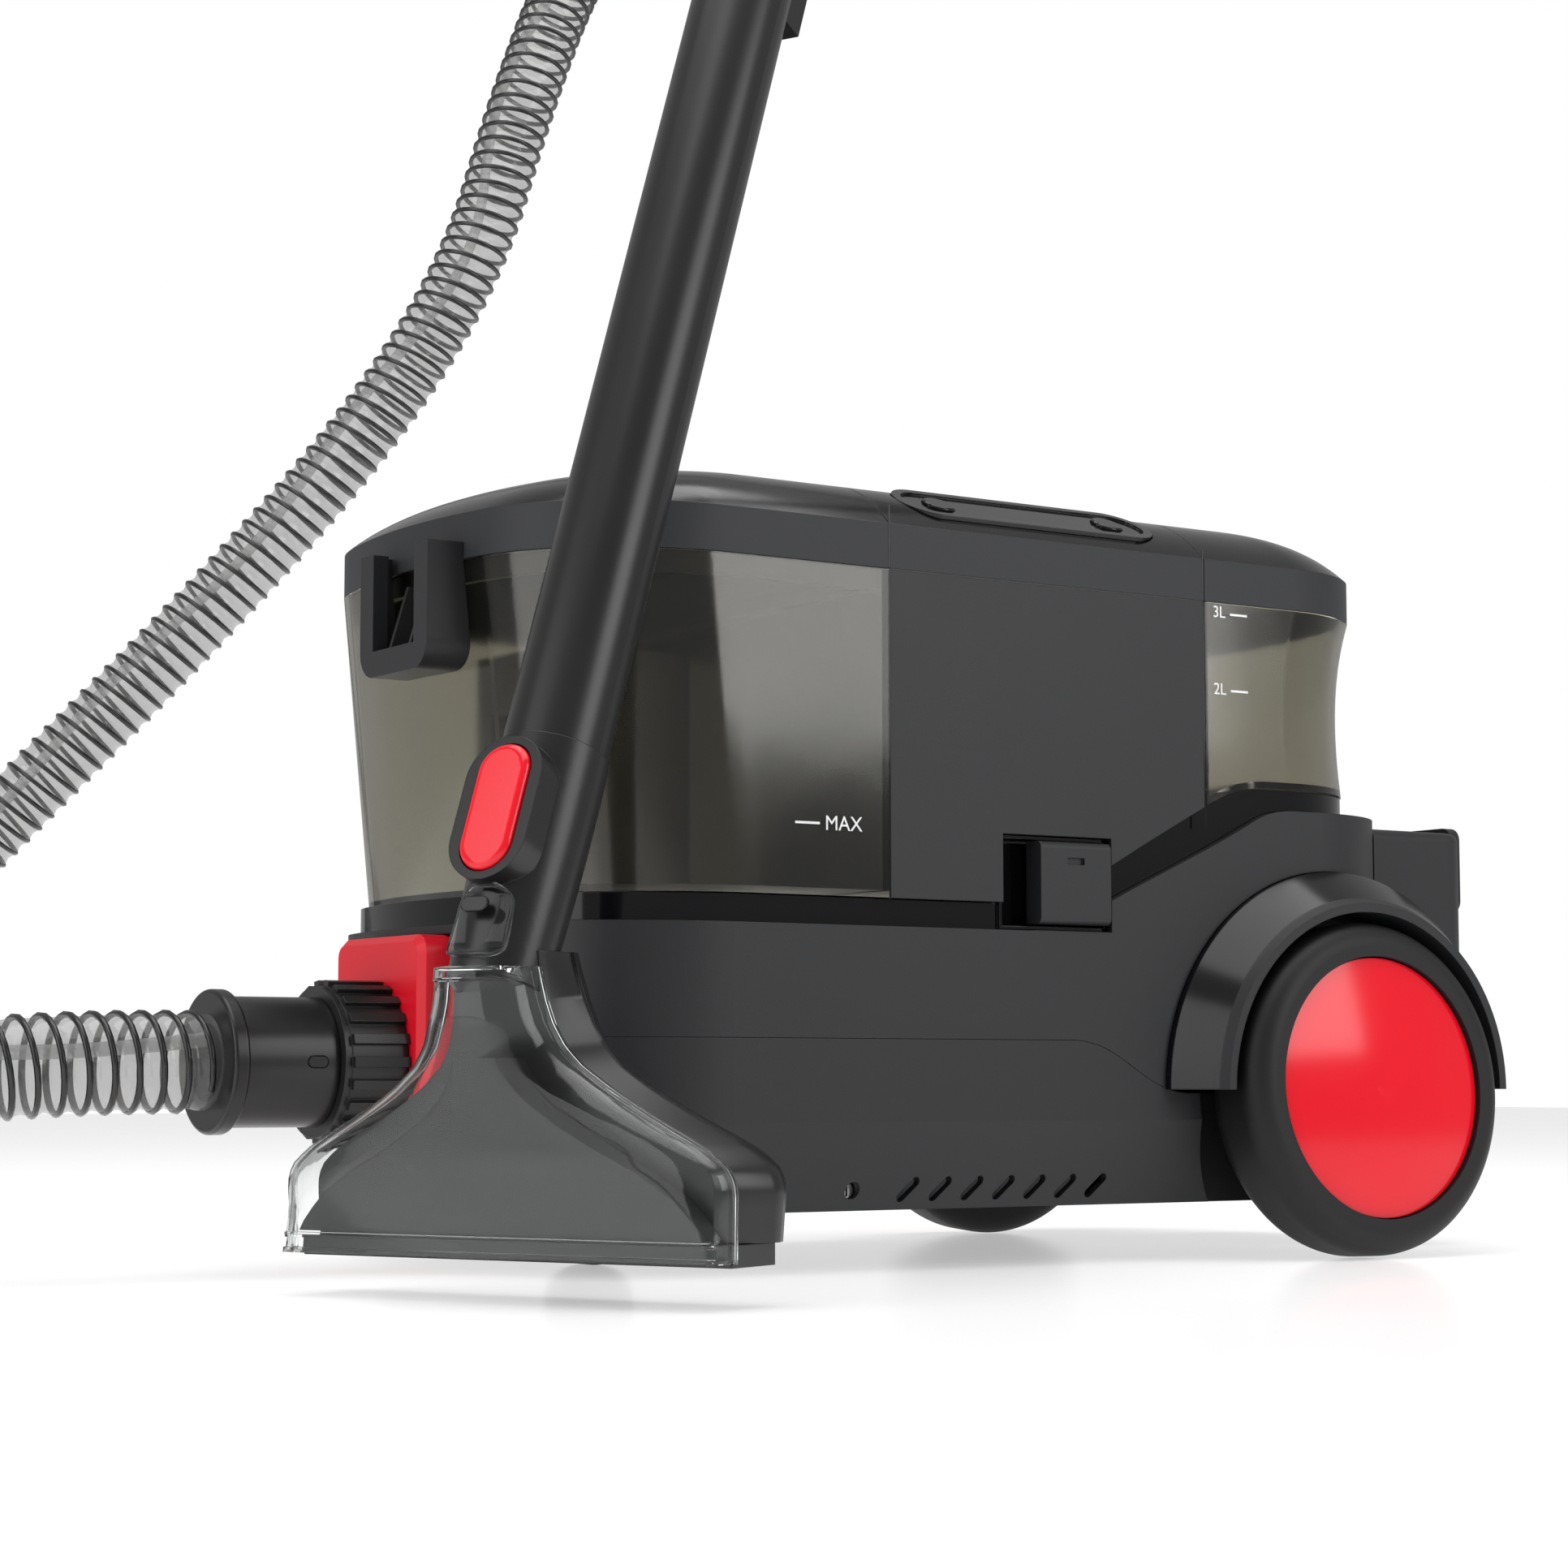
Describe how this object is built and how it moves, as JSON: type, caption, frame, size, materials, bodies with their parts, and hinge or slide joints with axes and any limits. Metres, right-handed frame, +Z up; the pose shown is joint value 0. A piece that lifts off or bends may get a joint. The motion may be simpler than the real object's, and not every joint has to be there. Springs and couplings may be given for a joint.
{
  "type": "carpet cleaner machine",
  "caption": "Canister carpet washer on two large rear wheels, with removable smoke water tanks, a ribbed clear hose and a leaning wand that ends in a clear floor nozzle.",
  "frame": {"origin": "middle of the footprint of the machine with its wand, on the floor, the hose left out", "axes": "+Z up, -Y towards the machine's nose and hose connection, +X towards the machine's left side, where its control panel and wand are"},
  "size_m": [0.9593, 1.1687, 1.0272],
  "materials": {
    "body_plastic": "fine grained charcoal moulding",
    "gloss_black": "polished black moulding",
    "lid_black": "polished dome over a satin upright side",
    "tyre_rubber": "satin black tread",
    "wheel_plastic": "moulded wheel centre",
    "red_gloss": "glossy red",
    "smoke_clear": "smoke tinted clear plastic",
    "clear_cover": "clear moulded plastic",
    "hose_clear": "clear tube with a black spiral rib",
    "black_rubber": "soft black seal",
    "inner_dark": "plain dark moulding",
    "steel_pin": "ground steel",
    "motor_steel": "painted motor can",
    "board_green": "circuit board",
    "filter_grey": "pleated filter",
    "float_white": "white float"
  },
  "bodies": {
    "machine": {"base_tray": "body_plastic", "upper_shell": "body_plastic", "deck_band": "gloss_black", "wheel_arches": "body_plastic", "stub_axles": "steel_pin", "axle_blocks": "inner_dark", "motor_housing": "body_plastic", "top_cover": "lid_black", "control_panel": "gloss_black", "suction_motor": "motor_steel", "fan_housing": "inner_dark", "circuit_board": "board_green", "water_pump": "inner_dark", "exhaust_filter": "filter_grey", "body_screws": "steel_pin", "rear_cover": "body_plastic", "mains_gland": "black_rubber", "hose_port": "red_gloss", "hose_cuff": "gloss_black", "hose": "hose_clear", "wand_tube": "gloss_black", "wand_housing": "gloss_black", "parking_tongue": "gloss_black", "nozzle_back": "body_plastic", "nozzle_sole": "inner_dark", "handle_left": "body_plastic", "handle_right": "body_plastic", "hinge_pins": "steel_pin", "handle_cuff": "gloss_black"},
    "left_wheel": {"tyre_left": "tyre_rubber", "wheel_core_left": "wheel_plastic", "hub_cap_left": "red_gloss"},
    "right_wheel": {"tyre_right": "tyre_rubber", "wheel_core_right": "wheel_plastic", "hub_cap_right": "red_gloss"},
    "castor_fork": {"castor_fork": "inner_dark"},
    "castor_wheel": {"castor_wheel": "tyre_rubber"},
    "carry_handle": {"carry_handle": "lid_black"},
    "power_button": {"power_button": "gloss_black"},
    "mode_button": {"mode_button": "gloss_black"},
    "side_latch": {"side_latch": "body_plastic"},
    "dirty_tank": {"dirty_tank": "smoke_clear", "dirty_tank_lid": "lid_black", "dirty_tank_seal": "black_rubber", "parking_bracket": "body_plastic", "separator_column": "inner_dark"},
    "tank_float": {"tank_float": "float_white"},
    "clean_tank": {"clean_tank": "smoke_clear", "clean_tank_lid": "lid_black", "tank_valve": "black_rubber"},
    "filler_cap": {"filler_cap": "gloss_black"},
    "release_button": {"release_button": "red_gloss"},
    "nozzle_cover": {"nozzle_cover": "clear_cover"},
    "bayonet_collar": {"bayonet_collar": "inner_dark"},
    "cuff_button": {"cuff_button": "gloss_black"},
    "cuff_flange": {"cuff_flange": "gloss_black"},
    "trigger": {"trigger": "red_gloss"},
    "cord_hook_upper": {"cord_hook_upper": "body_plastic"},
    "suction_fan": {"suction_fan": "inner_dark"}
  },
  "joints": [
    {"name": "left_wheel_spin", "type": "hinge", "parent": "machine", "child": "left_wheel", "pos_m": [0.07774, 0.18391, 0.0746], "axis": [0.9981, 0, 0.061], "continuous": true},
    {"name": "right_wheel_spin", "type": "hinge", "parent": "machine", "child": "right_wheel", "pos_m": [-0.20146, 0.18391, 0.0746], "axis": [0.9981, 0, -0.061], "continuous": true},
    {"name": "castor_swivel", "type": "hinge", "parent": "machine", "child": "castor_fork", "pos_m": [-0.06186, -0.14109, 0.053], "axis": [0, 0, 1], "continuous": true},
    {"name": "castor_spin", "type": "hinge", "parent": "castor_fork", "child": "castor_wheel", "pos_m": [-0.06186, -0.13109, 0.019], "axis": [1, 0, 0], "continuous": true},
    {"name": "carry_handle_hinge", "type": "hinge", "parent": "machine", "child": "carry_handle", "pos_m": [-0.06186, 0.06591, 0.3265], "axis": [-1, 0, 0], "range_deg": [0, 90]},
    {"name": "power_button_press", "type": "slide", "parent": "machine", "child": "power_button", "axis": [-0.4695, 0, -0.8829], "range_m": [0, 0.0015], "stiffness_N_per_m": 500},
    {"name": "mode_button_press", "type": "slide", "parent": "machine", "child": "mode_button", "axis": [-0.4695, 0, -0.8829], "range_m": [0, 0.0015], "stiffness_N_per_m": 500},
    {"name": "side_latch_press", "type": "slide", "parent": "machine", "child": "side_latch", "axis": [-1, 0, 0], "range_m": [0, 0.0025], "stiffness_N_per_m": 800},
    {"name": "dirty_tank_slide", "type": "slide", "parent": "machine", "child": "dirty_tank", "axis": [0, -1, 0], "range_m": [0, 0.19]},
    {"name": "tank_float_rise", "type": "slide", "parent": "dirty_tank", "child": "tank_float", "axis": [0, 0, 1], "range_m": [0, 0.06]},
    {"name": "clean_tank_lift", "type": "slide", "parent": "machine", "child": "clean_tank", "axis": [0, 0, 1], "range_m": [0, 0.1]},
    {"name": "filler_cap_twist", "type": "hinge", "parent": "clean_tank", "child": "filler_cap", "pos_m": [-0.06186, 0.17391, 0.33], "axis": [0, 0, 1], "range_deg": [0, 90]},
    {"name": "release_button_press", "type": "slide", "parent": "machine", "child": "release_button", "axis": [-0.4112, 0.8303, -0.3762], "range_m": [0, 0.0025], "stiffness_N_per_m": 800},
    {"name": "nozzle_cover_slide", "type": "slide", "parent": "machine", "child": "nozzle_cover", "axis": [0.4439, -0.8961, 0], "range_m": [0, 0.06]},
    {"name": "bayonet_collar_twist", "type": "hinge", "parent": "machine", "child": "bayonet_collar", "pos_m": [-0.06186, -0.24609, 0.086], "axis": [0, 1, 0], "range_deg": [0, 45]},
    {"name": "cuff_button_press", "type": "slide", "parent": "machine", "child": "cuff_button", "axis": [-1, 0, 0], "range_m": [0, 0.0012], "stiffness_N_per_m": 400},
    {"name": "cuff_flange_swivel", "type": "hinge", "parent": "machine", "child": "cuff_flange", "pos_m": [-0.06186, -0.30409, 0.086], "axis": [0, 1, 0], "continuous": true},
    {"name": "trigger_pull", "type": "hinge", "parent": "machine", "child": "trigger", "pos_m": [-0.03463, 0.05939, 0.84262], "axis": [-0.8961, -0.4439, 0], "range_deg": [0, 12], "stiffness_Nm_per_rad": 0.5},
    {"name": "cord_hook_turn", "type": "hinge", "parent": "machine", "child": "cord_hook_upper", "pos_m": [-0.02186, 0.31391, 0.168], "axis": [0, 1, 0], "range_deg": [0, 180]},
    {"name": "suction_fan_spin", "type": "hinge", "parent": "machine", "child": "suction_fan", "pos_m": [-0.06186, 0.02391, 0.25], "axis": [0, 0, 1], "continuous": true}
  ]
}
